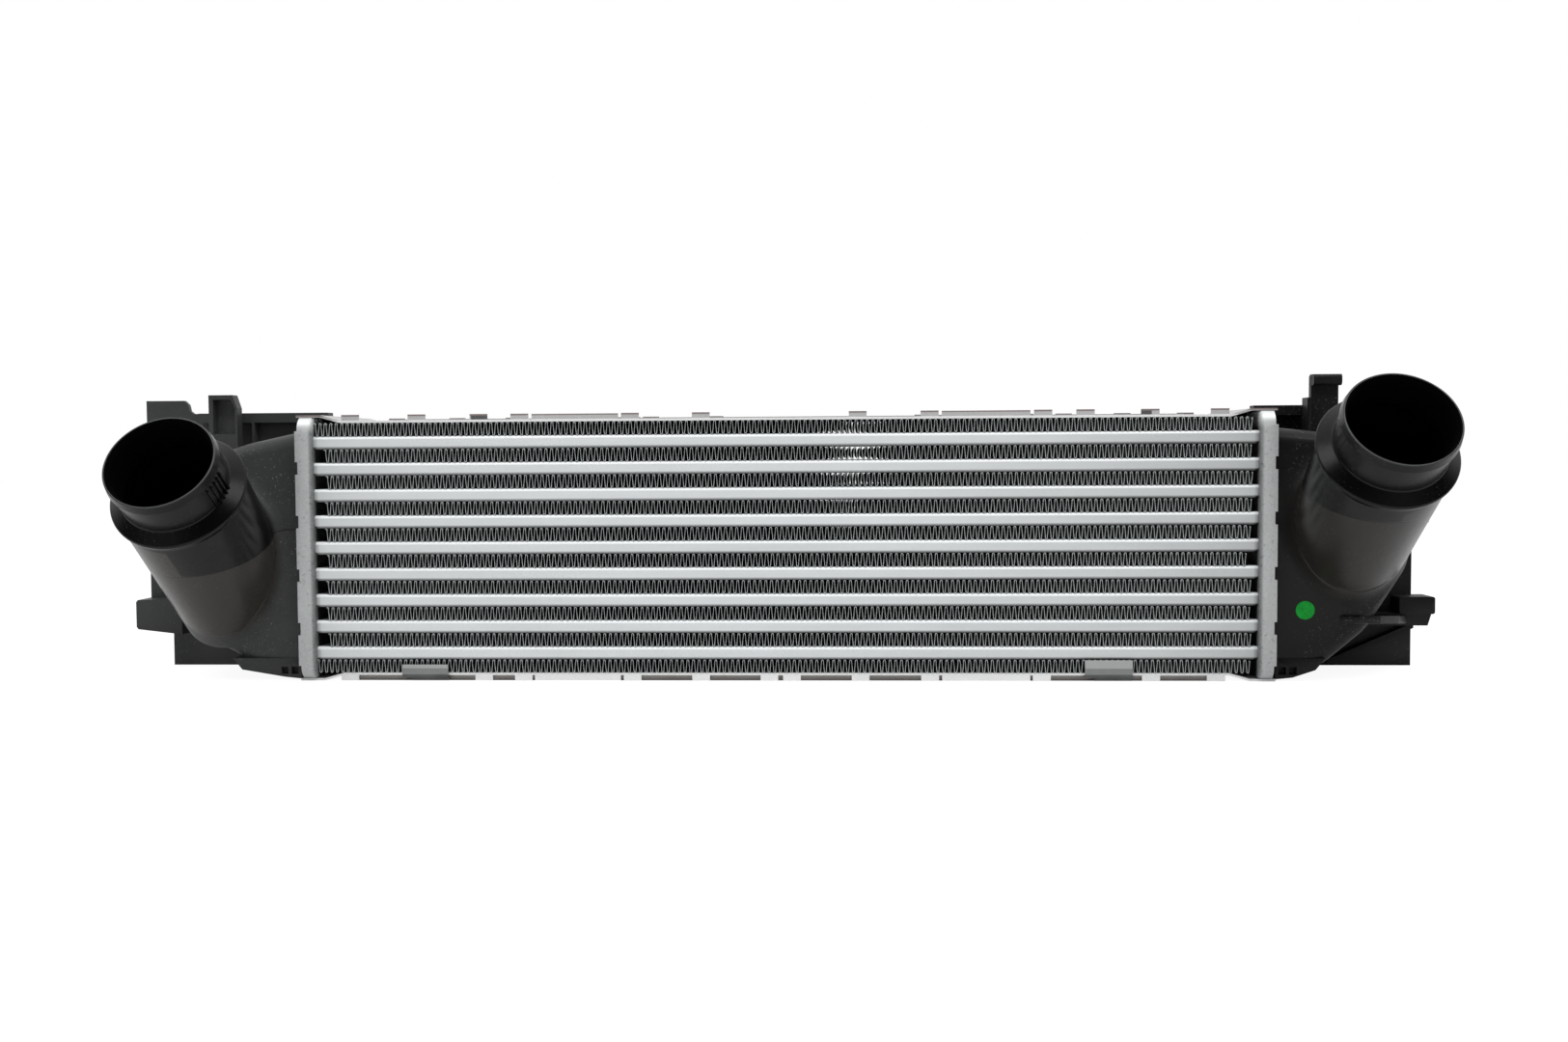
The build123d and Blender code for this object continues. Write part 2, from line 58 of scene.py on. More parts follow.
# %% A shader value
class Value:
    """One output socket of a material's tree, which can be written in plain arithmetic."""

    def __init__(self, tree, socket=None):
        self.tree = tree
        self.socket = socket

    def add(self, kind, sockets, out=0, **settings):
        """A node of this type, with its settings made first and its sockets filled next."""
        node = self.tree.nodes.new(kind)
        for name, setting in settings.items():
            setattr(node, name, setting)
        for name, value in sockets.items():
            if isinstance(value, Value):
                self.tree.links.new(value.socket, node.inputs[name])
            else:
                node.inputs[name].default_value = value
        return Value(self.tree, node.outputs[out]) if len(node.outputs) else None

    def maths(self, operation, *others):
        """A Math node with this value in its first socket and the others in the next ones."""
        return self.add("ShaderNodeMath", dict(enumerate((self, *others))), operation=operation)

    def __add__(self, other):
        return self.maths("ADD", other)

    def __sub__(self, other):
        return self.maths("SUBTRACT", other)

    def __mul__(self, other):
        return self.maths("MULTIPLY", other)

    def __rsub__(self, other):
        return self.maths("MULTIPLY_ADD", -1.0, other)

    __radd__ = __add__
    __rmul__ = __mul__

    def between(self, low, high):
        """0 below low, 1 above high, and a straight line from one to the other."""
        return self.add("ShaderNodeMapRange", {"Value": self, "From Min": low, "From Max": high})

    def within(self, low, high, blur):
        """1 from low to high and 0 outside them, with soft borders."""
        return self.between(low - blur, low) * (1.0 - self.between(high, high + blur))

    def tint(self, first, second):
        """A colour that goes from the first to the second as this value goes from 0 to 1."""
        first, second = (c if isinstance(c, Value) else (*c, 1) for c in (first, second))
        return self.add("ShaderNodeMix", {"Factor": self, 6: first, 7: second}, out=2, data_type="RGBA")

    def share_of(self, colour):
        """The colour, darkened to black where this value is 0."""
        return self.tint((0.0, 0.0, 0.0), colour)


def new_finish(name):
    """An empty material and its object coordinates, which stay with the surface."""
    material = bpy.data.materials.new(name)
    material.use_nodes = True
    material.node_tree.nodes.clear()
    place = Value(material.node_tree).add("ShaderNodeTexCoord", {}, out="Object")
    return material, place


def axis(place, number):
    """One of the coordinates: 0 along the tubes, 1 through the core and 2 upwards."""
    return place.add("ShaderNodeSeparateXYZ", {"Vector": place}, out=number)


def stretch(place, x, y, z):
    """The coordinates scaled along each axis, to make marks long or short."""
    return place.add("ShaderNodeMapping", {"Vector": place, "Scale": (x, y, z)})


def cloud(place, scale, detail=3.0, roughness=0.5):
    """Soft noise from 0 to 1, with this many blots to the metre."""
    return place.add("ShaderNodeTexNoise", {"Vector": place, "Scale": scale, "Detail": detail,
                                            "Roughness": roughness})


def bump(height, depth, strength):
    """A normal that stands as if the surface rose by the depth, in metres, where the height is 1."""
    return height.add("ShaderNodeBump", {"Height": height, "Distance": depth, "Strength": strength})


def surface(place, **sockets):
    """The shader itself: names with spaces are written with underscores."""
    sockets = {name.replace("_", " "): value for name, value in sockets.items()}
    shader = place.add("ShaderNodeBsdfPrincipled", sockets)
    place.add("ShaderNodeOutputMaterial", {"Surface": shader})


# %% [markdown]
# ## Bright tube skin
# The tubes are rolled from aluminium strip. Rolling leaves faint lines along the strip, and the
# brazing furnace leaves a cloudy bloom, so one noise is stretched long in X for the lines and a
# second, wide one clouds the colour and the roughness. An image could hold such marks, but noise
# needs no unwrapping and stays sharp from near by. The upper edge of every tube gets a painted
# highlight, as if lit from above, and the lower one painted shade. A floored modulo of the height
# makes one mask for all nine. Behind the noses, and close to the headers, the skin gets painted
# shade, and towards the outlet it is a little darker.

# %% Tube finish
tube_low, tube_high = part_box("tube_1")
core_front = tube_high[1]
tube_height = tube_high[2] - tube_low[2]
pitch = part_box("tube_2")[0][2] - tube_low[2]


def depth_shade(place, start, end):
    """Painted shade behind the core's faces: 0 at the front and rear faces, rising to 1 between two depths
    behind them.
    """
    behind = core_front - axis(place, 1).maths("ABSOLUTE")
    return behind.between(start, end)


def above_tube(place):
    """The height above the underside of the nearest tube below."""
    return (axis(place, 2) - tube_low[2]).maths("FLOORED_MODULO", pitch)


tube_finish, place = new_finish("bright_tube")
rolled = cloud(stretch(place, 12.0, 900.0, 900.0), 1.0, 2.0)
bloom = cloud(stretch(place, 9.0, 60.0, 60.0), 1.0, 4.0, 0.6)
up = above_tube(place)
# Painted highlight along each tube's upper edge, painted shade along its lower edge.
top_highlight = up.between(tube_height - 1.8 * MM, tube_height - 1.2 * MM)
bottom_shade = 1.0 - up.between(0.7 * MM, 1.7 * MM)
header_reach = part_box("header_plate_right")[0][0]
outlet_end = axis(place, 0).between(50.0 * MM, header_reach)
# Painted shade on the tubes close to the headers.
header_shade = axis(place, 0).maths("ABSOLUTE").between(header_reach - 2.5 * MM, header_reach)
level = (0.85 - 0.22 * bloom + 0.4 * top_highlight - 0.45 * bottom_shade - 0.6 * depth_shade(place, 1.2 * MM, 7.0 * MM)
         - 0.14 * outlet_end - 0.3 * header_shade)
surface(place,
        Base_Color=level.share_of((0.93, 0.965, 0.975)),
        Metallic=0.12,
        Roughness=0.34 + 0.14 * bloom,
        Normal=bump(rolled, 0.06 * MM, 0.5))
print("tubes:", round(tube_height / MM, 2), "mm high,", round(pitch / MM, 2), "mm apart")

# %% [markdown]
# ## Satin header
# The header plates come out of the same furnace, but they are drawn deep, so their skin is rougher.
# Fine speckle in the bump, small pits and a slow change of grey do it. The folded edge facing the
# fins gets painted shade from them, and so does the floor between the tubes. The top, where the
# metal is bent round, gets a painted highlight, as if lit from above.

# %% Header finish
header_finish, place = new_finish("satin_header")
speckle = cloud(place, 900.0, 2.0, 0.6)
stain = cloud(stretch(place, 40.0, 40.0, 26.0), 1.0, 4.0, 0.6)
along = axis(place, 0).maths("ABSOLUTE")
floor_side = 1.0 - along.between(header_reach + 0.1 * MM, header_reach + 0.4 * MM)
inner_edge_shade = 1.0 - along.between(header_reach + 0.5 * MM, header_reach + 1.6 * MM)
pits = 1.0 - cloud(place, 420.0, 3.0, 0.7).between(0.30, 0.42)
# Painted highlight on the bent-round top, as if lit from above.
crown_highlight = axis(place, 2).between(134.0 * MM, 140.0 * MM)  # where the top is bent round
# Painted shade on the edge facing the fins and on the floor between the tubes.
level = (1.02 - 0.25 * stain + 0.3 * (speckle - 0.5) - 0.25 * pits - 0.45 * inner_edge_shade
         - 0.4 * depth_shade(place, 0.0, 3.0 * MM) * floor_side)
surface(place,
        Base_Color=(0.8 * crown_highlight).tint(level.share_of((0.56, 0.575, 0.58)), (0.88, 0.90, 0.90)),
        Metallic=0.35,
        Roughness=0.42 + 0.2 * stain,
        Normal=bump(speckle, 0.08 * MM, 0.6))
print("header floors:", round(header_reach / MM, 1), "mm from the middle")

# %% [markdown]
# ## Side sheets
# Two thin sheets close the core above and below, and bent tabs along their edges hold the stack
# while it is brazed. The sheet gets a painted highlight along its front and rear edges, and is
# greyer on its flat. The upper tabs are greyer again, with a scorched rim, and two of them were bent
# over and get painted shade of their own. All of it is masks on the height and the depth, since the
# places are known. The lower sheet's fold gets a darker finish of its own, painted shade that
# deepens towards the floor.

# %% Side sheet finish
side_finish, place = new_finish("side_sheet")
stain = cloud(stretch(place, 25.0, 60.0, 60.0), 1.0, 4.0, 0.6)
tab_height = 3.1 * MM
dented_tabs = ((-166.0 * MM, -157.0 * MM), (189.0 * MM, 196.5 * MM))
top_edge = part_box("side_plate_top")[1][2]
low_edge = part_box("side_plate_bottom")[0][2]
height = axis(place, 2)
upper_tab = height.between(top_edge - tab_height, top_edge - tab_height + 0.2 * MM)
tab_rim = height.between(top_edge - 1.1 * MM, top_edge - 0.7 * MM)
at_front = axis(place, 1).maths("ABSOLUTE").between(core_front - 3.0 * MM, core_front - 2.0 * MM)
# Painted highlight along the front and rear edges, taken back off the upper tabs.
level = 0.60 - 0.15 * stain + (0.35 - 0.36 * upper_tab) * at_front
# Painted shade on the two bent-over tabs.
bent_tab_shade = sum(axis(place, 0).within(start, end, 0.3 * MM) for start, end in dented_tabs)
level = level - 0.42 * bent_tab_shade * upper_tab * at_front
grey = level.share_of((0.93, 0.935, 0.93))
surface(place,
        Base_Color=(tab_rim * at_front).tint(grey, (0.23, 0.185, 0.18)),
        Metallic=0.15,
        Roughness=0.36 + 0.2 * stain,
        Normal=bump(cloud(place, 1200.0, 2.0), 0.06 * MM, 0.5))

# A shaded copy of the sheet finish for the lower fold: painted shade, darkest at the floor.
shaded_finish, place = new_finish("side_sheet_shaded")
from_floor = axis(place, 2).between(0.0, 3.4 * MM)
lightness = from_floor - 0.25 * cloud(place, 90.0)
surface(place,
        Base_Color=lightness.tint((0.10, 0.092, 0.085), (0.42, 0.40, 0.38)),
        Metallic=0.1,
        Roughness=0.6)
print("side sheets: from", round(low_edge / MM, 1), "to", round(top_edge / MM, 1), "mm above the floor")

# %% [markdown]
# ## Fin strip
# The fins are thin strip, dull after brazing. They stand so close that most of what is seen is their
# shadow, and only their cut edges catch the light. So the strip's colour gets painted shade that
# deepens fast behind those edges and a painted shadow under each tube, and the crests that touch a
# tube from below are lighter.

# %% Fin finish
fin_finish, place = new_finish("fin_strip")
mottle = cloud(stretch(place, 60.0, 60.0, 200.0), 1.0, 2.0)
cut_edge = 1.0 - depth_shade(place, 0.02 * MM, 0.3 * MM)
up = above_tube(place)
# Painted shade behind the cut edges and a painted shadow under each tube.
tube_shadow = up.between(tube_height + 1.0 * MM, pitch)
crest = up.between(pitch - 1.5 * MM, pitch - 1.0 * MM) * (1.0 - depth_shade(place, 0.8 * MM, 2.5 * MM))
level = 0.04 + 0.04 * mottle + 0.74 * cut_edge - 0.04 * depth_shade(place, 1.0 * MM, 12.0 * MM)
level = level * (1.0 - 0.5 * tube_shadow) + 0.3 * crest
surface(place,
        Base_Color=level.share_of((0.70, 0.745, 0.75)),
        Metallic=0.3,
        Roughness=0.5)
print("fin rows:", round((pitch - tube_height) / MM, 2), "mm high")

# %% [markdown]
# ## Black moulded plastic
# The tanks are moulded from glass-filled nylon. Its skin has a fine grain and faint flow marks. The
# front is dull below the plane where the mould's halves meet, and polished above it, as is the neck
# that the hose slides on, so one mask chooses the colour and lowers the roughness. The colours hold
# painted light as well: the dull lower half gets a lighter, brownish painted reflection of the table,
# the polished part is darker with painted shade under the collar, the left tank's walls get painted
# light and the right's painted shade, and the mouth's rim gets a painted highlight. The plane slants,
# so its mask comes from the height less a share of the depth. The low specular level keeps the
# white room from greying the black. Dust lies on the flat walls.

# %% Where the necks and mould lines are
sides = ("left", "right")
front_wall = -40.5 * MM
neck_tilt = math.radians(35.93)
neck_out = Vector((0, -math.cos(neck_tilt), math.sin(neck_tilt)))
mouths = {"left": Vector((-301.6, -118.8, 119.4)) * MM, "right": Vector((299.0, -118.8, 136.2)) * MM}
parting_slope = 0.4
parting_heights = {"left": 82.4 * MM, "right": 112.8 * MM}
insert_edges = {"left": 303.0 * MM, "right": 303.5 * MM}
print("necks: tilted", round(math.degrees(neck_tilt), 2), "degrees, mouths at", *mouths.values())

# %% Tank finish
# Painted light in the tones: the left walls lit and the right ones shaded, a painted table reflection on
# the dull horn, painted shade on the polished part, a painted highlight on the rim.
wall_light_tones = {"left": (0.047, 0.0485, 0.049), "right": (0.0085, 0.0078, 0.0075)}
horn_reflection_tones = {"left": (0.034, 0.0305, 0.027), "right": (0.021, 0.0185, 0.0165)}
polished_shade_tone = (0.0018, 0.0015, 0.0015)
rim_highlight_tone = (0.035, 0.038, 0.04)
line_tone = (0.001, 0.001, 0.001)
dust_tone = (0.35, 0.36, 0.36)


def times(tone, share):
    """A colour made darker or lighter."""
    return tuple(share * part for part in tone)


def polished_part(place, side):
    """The masks of the horn's polished upper half and of the thin line that borders it."""
    over = (axis(place, 2) - parting_slope * axis(place, 1)
            - (parting_heights[side] - parting_slope * front_wall))
    line = 1.0 - over.maths("ABSOLUTE").between(0.15 * MM, 0.4 * MM)
    outward = axis(place, 0) * (-1.0 if side == "left" else 1.0)
    edge = insert_edges[side]
    insert = 1.0 - outward.between(edge - 0.3 * MM, edge + 0.3 * MM)
    return over.between(-0.3 * MM, 0.3 * MM) * insert, line


def moulding(side):
    """The black plastic of one tank, with that side's painted light and shade."""
    finish, place = new_finish("black_moulding_" + side)
    grain = cloud(place, 2600.0, 2.0, 0.6)
    flow = cloud(stretch(place, 14.0, 22.0, 34.0), 1.0, 4.0, 0.65)
    specks = cloud(place, 1100.0, 1.0, 0.5).between(0.66, 0.80)
    dust = specks * cloud(place, 30.0, 3.0).between(0.45, 0.65)
    front = 1.0 - axis(place, 1).between(front_wall - 8 * MM, front_wall - 2 * MM)
    upper_half, line = polished_part(place, side)
    above_mouth = place.add("ShaderNodeVectorMath", {0: place, 1: neck_out}, out="Value",
                            operation="DOT_PRODUCT") - mouths[side].dot(neck_out)
    rim = above_mouth.between(0.2 * MM, 0.7 * MM)
    neck = above_mouth.between(-33.0 * MM, -32.0 * MM)
    dull = (1.0 - upper_half) * (1.0 - neck)
    flats = flow.between(0.3, 0.75).tint(times(wall_light_tones[side], 0.75), times(wall_light_tones[side], 1.2))
    # Painted table reflection on the dull horn half, painted shade on the polished upper half and the
    # neck.
    tone = front.tint(flats, dull.tint(polished_shade_tone, horn_reflection_tones[side]))
    # Painted highlight on the mouth's rim.
    tone = (rim * front).tint(tone, rim_highlight_tone)
    tone = (0.75 * line).tint(tone, line_tone)
    surface(place,
            Base_Color=(0.6 * dust * (1.0 - 0.7 * front)).tint(tone, dust_tone),
            Roughness=0.34 + 0.14 * flow + 0.08 * grain - 0.20 * front,
            Specular_IOR_Level=0.22,
            Normal=bump(grain - 2.0 * line, 0.05 * MM, 0.4))
    return finish


tank_finishes = {side: moulding(side) for side in sides}
print("mouldings:", *(finish.name for finish in tank_finishes.values()))

# %% [markdown]
# ## Bore, seal, mark and clips
# Four small finishes. The bore is painted near black as shade, since no light comes back out of it.
# The seal is soft rubber. The inspector's round mark is printed paper without gloss, uneven in its
# ink. The clips are plain steel, with a painted highlight on the fold along the top and painted shade
# on the lip at the foot.

# %% Small finishes
# Painted shade: the bore's inward faces are made near black.
bore_shade_finish, place = new_finish("neck_bore_shade")
surface(place,
        Base_Color=cloud(place, 60.0).tint((0.0004, 0.0004, 0.0004), (0.001, 0.001, 0.001)),
        Roughness=0.9,
        Specular_IOR_Level=0.05)

seal_finish, place = new_finish("seal_rubber")
surface(place,
        Base_Color=cloud(place, 300.0).tint((0.010, 0.010, 0.011), (0.022, 0.022, 0.022)),
        Roughness=0.7)

mark_finish, place = new_finish("green_mark")
print_grain = cloud(place, 700.0, 3.0, 0.7)
surface(place,
        Base_Color=print_grain.between(0.3, 0.7).tint((0.004, 0.23, 0.024), (0.009, 0.38, 0.042)),
        Specular_IOR_Level=0.2,
        Roughness=0.7)

clip_finish, place = new_finish("clip_steel")
clip_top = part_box("air_guide_clip_left")[1][2]
fold_highlight = axis(place, 2).between(clip_top - 2.2 * MM, clip_top - 1.6 * MM)
foot_shade = 1.0 - axis(place, 2).between(3.4 * MM, 3.9 * MM)
# Painted highlight on the top fold and painted shade on the lip at the foot.
level = 0.45 + 0.5 * fold_highlight + 0.25 * cloud(place, 90.0, 3.0) - 0.35 * foot_shade
surface(place,
        Base_Color=level.share_of((0.40, 0.41, 0.41)),
        Metallic=0.2,
        Roughness=0.5)

# %% [markdown]
# ## Dress the CAD nodes
# Every node gets its finish by the start of its name. Most are covered by a finer piece later, and
# the ones that stay visible, such as the side plates, keep it.

# %% Dress the nodes
node_finishes = {"tube_": tube_finish, "turbulator_": fin_finish, "fin_row_": fin_finish,
                 "header_plate_": header_finish, "side_plate_": side_finish, "gasket_": seal_finish,
                 "tank_left": tank_finishes["left"], "tank_right": tank_finishes["right"],
                 "air_guide_clip_": clip_finish, "inspection_mark": mark_finish}


def by_start(name, table):
    """The table's entry whose key the name starts with."""
    return next(entry for start, entry in table.items() if name.startswith(start))


for name, node in nodes.items():
    node.data.materials.clear()
    node.data.materials.append(by_start(name, node_finishes))
print("finishes:", len(bpy.data.materials))

# %% [markdown]
# ## From bmesh to object
# Every new piece ends the same way: its mesh becomes an object at the origin, gets its finish, and
# rides on the cooler's one body. Faces that meet at less than the smooth angle are shaded as one
# curve, and the others keep their edge.


def make_piece(bm, name, finish, smooth_angle=35.0):
    """The finished mesh as an object on the cooler's body; the smooth angle is in degrees."""
    mesh = bpy.data.meshes.new(name)
    bm.to_mesh(mesh)
    bm.free()
    mesh.materials.append(finish)
    mesh.shade_smooth()
    mesh.set_sharp_from_angle(angle=math.radians(smooth_angle))
    piece = bpy.data.objects.new(name, mesh)
    bpy.context.scene.collection.objects.link(piece)
    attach(piece, "root")
    return piece


def points_in(geometry):
    """The vertices among the parts that an operator returns."""
    return [part for part in geometry if isinstance(part, bmesh.types.BMVert)]


# %% [markdown]
# ## Smooth skins
# A CAD node comes as loose triangles, each shaded flat. Where the real piece is curved, a copy is
# merged and shaded smoothly up to a limit angle, and stands for the node. At 30 degrees the arcs of
# the noses and corners run together, and the chamfered tube ends stay crisp.

# %% Headers and tubes
merge_distance = 0.002 * MM


def smooth_copy(node_name, finish):
    """A merged copy of a CAD node, shaded as the curved sheet that it is."""
    bm = bmesh.new()
    bm.from_mesh(nodes[node_name].data)
    bmesh.ops.remove_doubles(bm, verts=bm.verts, dist=merge_distance)
    bmesh.ops.dissolve_degenerate(bm, edges=bm.edges, dist=merge_distance)
    piece = make_piece(bm, node_name + "_skin", finish, smooth_angle=30.0)
    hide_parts(node_name)
    print(piece.name, len(piece.data.polygons), "faces")


for side in sides:
    smooth_copy(f"header_plate_{side}", header_finish)
for number in range(1, 10):
    smooth_copy(f"tube_{number}", tube_finish)

# %% [markdown]
# ## Necks
# The neck is a turned shape: a lip that keeps the hose on, the spigot, a steep cone and a round
# shoulder. What shows it in black plastic is the thin light line along each rounded edge. A bevel
# on the finished ring would do, but rounding the outline first, as points, keeps the ring's faces
# even, and one spin about the neck's axis does the rest.

# %% Round the outline
neck_outline = [  # radius, distance behind the mouth and corner rounding in mm, from inside out
    (29.4, 27.5, 0), (29.4, 26.2, 0.8), (25.2, 19.8, 1.2), (25.2, 2.4, 0.8), (26.3, -0.8, 0.25),
    (27.6, -0.8, 0.4), (28.4, 3.9, 0.4), (27.55, 4.4, 0.2), (27.55, 19.8, 0.5), (34.25, 24.3, 0.6),
    (34.25, 25.8, 0.6), (32.45, 29.4, 0.5), (32.45, 30.2, 0)]
arc_steps = 4
support = 0.25  # of the flat beside an arc, in mm


def rounded(corners):
    """The outline with each corner turned into an arc, and a point close to both its ends."""
    points = [Vector((radius, 0, -depth)) for radius, depth, round_off in corners]
    line = [points[0]]
    for before, corner, after, (_, _, round_off) in zip(points, points[1:], points[2:], corners[1:]):
        back, on = (before - corner).normalized(), (after - corner).normalized()
        line.append(corner + back * (round_off + support))
        for step in range(arc_steps + 1):
            part = step / arc_steps
            line.append(corner + back * round_off * (1 - part) ** 2 + on * round_off * part ** 2)
        line.append(corner + on * (round_off + support))
    return line + [points[-1]]


print("neck outline:", len(neck_outline), "corners,", len(rounded(neck_outline)), "points")

# %% [markdown]
# ## Stops and bore
# The inlet's spigot has five short ribs on one side, which stop the hose. Each is a block with
# bevelled edges, half sunk in the wall. The bore is a second material of painted shade on the inward
# faces, which are told apart by their depth behind the mouth and their distance from the neck's axis.

# %% Stop ribs and the bore's faces
rib_angles = range(333, 358, 6)
rib_size = (2.2, 1.0, 14.0)  # in mm, as the outline is
rib_place = (27.6, 0, -13.5)


def stop_rib(bm, angle):
    """A short rib along the spigot, in front of the cone."""
    rib = bmesh.ops.create_cube(bm, size=1.0)["verts"]
    edges = {edge for v in rib for edge in v.link_edges}
    bmesh.ops.scale(bm, verts=rib, vec=rib_size)
    rib = bmesh.ops.bevel(bm, geom=list(edges), offset=0.35, offset_type="OFFSET", segments=2, profile=0.5,
                          affect="EDGES", clamp_overlap=True, material=-1)["verts"]
    rib = list({v for v in rib if v.is_valid})
    bmesh.ops.translate(bm, verts=rib, vec=rib_place)
    bmesh.ops.rotate(bm, verts=rib, cent=(0, 0, 0), matrix=Matrix.Rotation(angle, 3, "Z"))


def from_axis(point, side):
    """How deep a point lies behind the mouth, and its offset from the neck's axis."""
    from_mouth = point - mouths[side]
    depth = -from_mouth.dot(neck_out)
    return depth, from_mouth + neck_out * depth


def in_bore(face, side):
    """True for the turned ring's inner faces, which widen towards the chamber."""
    depth, across = from_axis(face.calc_center_median(), side)
    return across.length < 26.7 * MM or across.length < 29.5 * MM and depth > 24 * MM


def looks_inward(face, side):
    """True for the walls of the bore behind the ring, which face the neck's axis."""
    depth, across = from_axis(face.calc_center_median(), side)
    near = 0 < depth < 90 * MM and across.length < 31 * MM
    return near and face.normal.dot(across) < -0.2 * across.length


# %% Turn the necks
neck_steps = 96


def turn_neck(side):
    """The ring of one neck, spun upright in mm and then set on the tank."""
    bm = bmesh.new()
    first, *rest = rounded(neck_outline)
    tip = [bm.verts.new(first)]
    for point in rest:
        step = point - tip[0].co
        tip = bmesh.ops.extrude_vert_indiv(bm, verts=tip)["verts"]
        bmesh.ops.translate(bm, verts=tip, vec=step)
    bmesh.ops.spin(bm, geom=bm.verts[:] + bm.edges[:], cent=(0, 0, 0), axis=(0, 0, 1),
                   angle=2 * math.pi, steps=neck_steps, use_merge=True)
    if side == "left":
        for angle in rib_angles:
            stop_rib(bm, math.radians(angle))
    turn = neck_out.to_track_quat("Z", "Y").to_matrix().to_4x4()
    to_place = Matrix.Translation(mouths[side]) @ turn @ Matrix.Scale(MM, 4)
    bmesh.ops.transform(bm, matrix=to_place, verts=bm.verts)
    bmesh.ops.recalc_face_normals(bm, faces=bm.faces)
    for face in bm.faces:
        face.material_index = int(in_bore(face, side))
    neck = make_piece(bm, f"neck_{side}", tank_finishes[side], smooth_angle=60.0)
    neck.data.materials.append(bore_shade_finish)
    return neck


# %% [markdown]
# ## Tank skins
# The rest of each tank is the CAD's own mesh, merged. Its neck is cut away where the turned one
# stands, and its sharp edges get a narrow bevel, since every moulded edge is a little round. The
# Bevel modifier picks them by their angle, and leaves the horn's many small facets alone.

# %% Fit the tank skins
neck_foot = 29.25 * MM
neck_reach = 37.0 * MM


def inside_neck(point, side):
    """True for a point of the neck in front of the horn."""
    depth, across = from_axis(point, side)
    return depth < neck_foot and across.length < neck_reach


def tank_skin(side):
    """One tank without its neck, its edges a little round."""
    bm = bmesh.new()
    bm.from_mesh(nodes[f"tank_{side}"].data)
    bmesh.ops.remove_doubles(bm, verts=bm.verts, dist=merge_distance)
    neck_faces = [face for face in bm.faces if all(inside_neck(v.co, side) for v in face.verts)]
    bmesh.ops.delete(bm, geom=neck_faces, context="FACES")
    for face in bm.faces:
        face.material_index = int(looks_inward(face, side))
    tank = make_piece(bm, f"tank_skin_{side}", tank_finishes[side], smooth_angle=30.0)
    tank.data.materials.append(bore_shade_finish)
    soften = tank.modifiers.new("soft_edges", "BEVEL")
    soften.width = 0.4 * MM
    soften.segments = 2
    soften.limit_method = "ANGLE"
    soften.angle_limit = math.radians(38)
    soften.harden_normals = True
    return tank


for side in sides:
    tank = tank_skin(side)
    neck = turn_neck(side)
    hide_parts(f"tank_{side}")
    print(tank.name, len(tank.data.polygons), "faces,", neck.name, len(neck.data.polygons), "faces")

# %% [markdown]
# ## Fin rows
# Between two tubes lies one strip, folded into narrow waves 3 mm apart. One wave is drawn and
# repeated: an arc is spun for the crest, the leg is pulled down from its end, and the same half
# upside down makes the trough. An Array modifier could repeat it too, but here each fold has to
# lean by its own amount.

# %% One wave
wave_pitch = 3.02 * MM
crest_radius = 0.46 * MM
strip_thickness = 0.28 * MM
leg_parts = (0.2, 0.6, 0.2)


def draw_wave(bm, height):
    """One full wave in the plane y = 0, around z = 0."""
    top = height / 2 - strip_thickness / 2
    start = bm.verts.new((-crest_radius, 0, top - crest_radius))
    arc = bmesh.ops.spin(bm, geom=[start], cent=(0, 0, top - crest_radius), axis=(0, 1, 0),
                         angle=math.pi, steps=3)
    tip = points_in(arc["geom_last"])
    leg = Vector((wave_pitch / 2 - 2 * crest_radius, 0, -2 * (top - crest_radius)))
    for part in leg_parts:
        tip = bmesh.ops.extrude_vert_indiv(bm, verts=tip)["verts"]
        bmesh.ops.translate(bm, verts=tip, vec=leg * part)
    half = bm.verts[:] + bm.edges[:]
    verts = points_in(bmesh.ops.duplicate(bm, geom=half)["geom"])
    bmesh.ops.scale(bm, verts=verts, vec=(1, 1, -1))
    bmesh.ops.translate(bm, verts=verts, vec=(wave_pitch / 2, 0, 0))
    return bm.verts[:] + bm.edges[:]


print("one wave is", round(wave_pitch / MM, 2), "mm long")

# %% [markdown]
# ## Louvres and knocks
# The folded line is pulled back through the core in a few stretches. The middle of every leg steps
# sideways from one stretch to the next, as the louvres do on the real strip, so that hardly any
# light comes straight through. Every fold also leans a little, by noise along the row, and where
# the noise is strong the fins were knocked, most of all in the lowest row.

# %% Louvres and knocks
louvre_step = 1.2 * MM
depth_stops = (0.0, 0.12, 0.35, 0.5, 0.65, 0.88, 1.0)
louvre_part = 0.35  # of the height, up and down from the middle
lean = 0.10 * MM
knocked_lean = 2.4 * MM
knock_limit = 0.38


def pull_back(bm, edges, distance):
    """The edges pulled out along Y into a strip of faces; returns its far edges and vertices."""
    pulled = bmesh.ops.extrude_edge_only(bm, edges=edges)["geom"]
    verts = points_in(pulled)
    bmesh.ops.translate(bm, verts=verts, vec=(0, distance, 0))
    moved = set(verts)
    return [e for e in pulled if isinstance(e, bmesh.types.BMEdge) and set(e.verts) <= moved], verts


def add_louvres(bm, height, depth):
    """The folded line made a strip, with the middle of its legs stepping to and fro."""
    edges, step = bm.edges[:], -louvre_step
    for near, far in zip(depth_stops, depth_stops[1:]):
        edges, verts = pull_back(bm, edges, depth * (far - near))
        leg = [v for v in verts if abs(v.co.z) < louvre_part * height and far < 1.0]
        bmesh.ops.translate(bm, verts=leg, vec=(step, 0, 0))
        step = -step


def crushed(x, row):
    """How far the folds lean out of line at a place along a row: only knocked ones lean much."""
    knock = noise.noise((x * 90, row * 7.3, 0.5))
    steady = lean * noise.noise((x * 700, row * 3.1, 2.0))
    share = 1.0 if row == 1 else 0.25
    return steady + share * knocked_lean * max(0, abs(knock) - knock_limit) * math.copysign(1, knock)


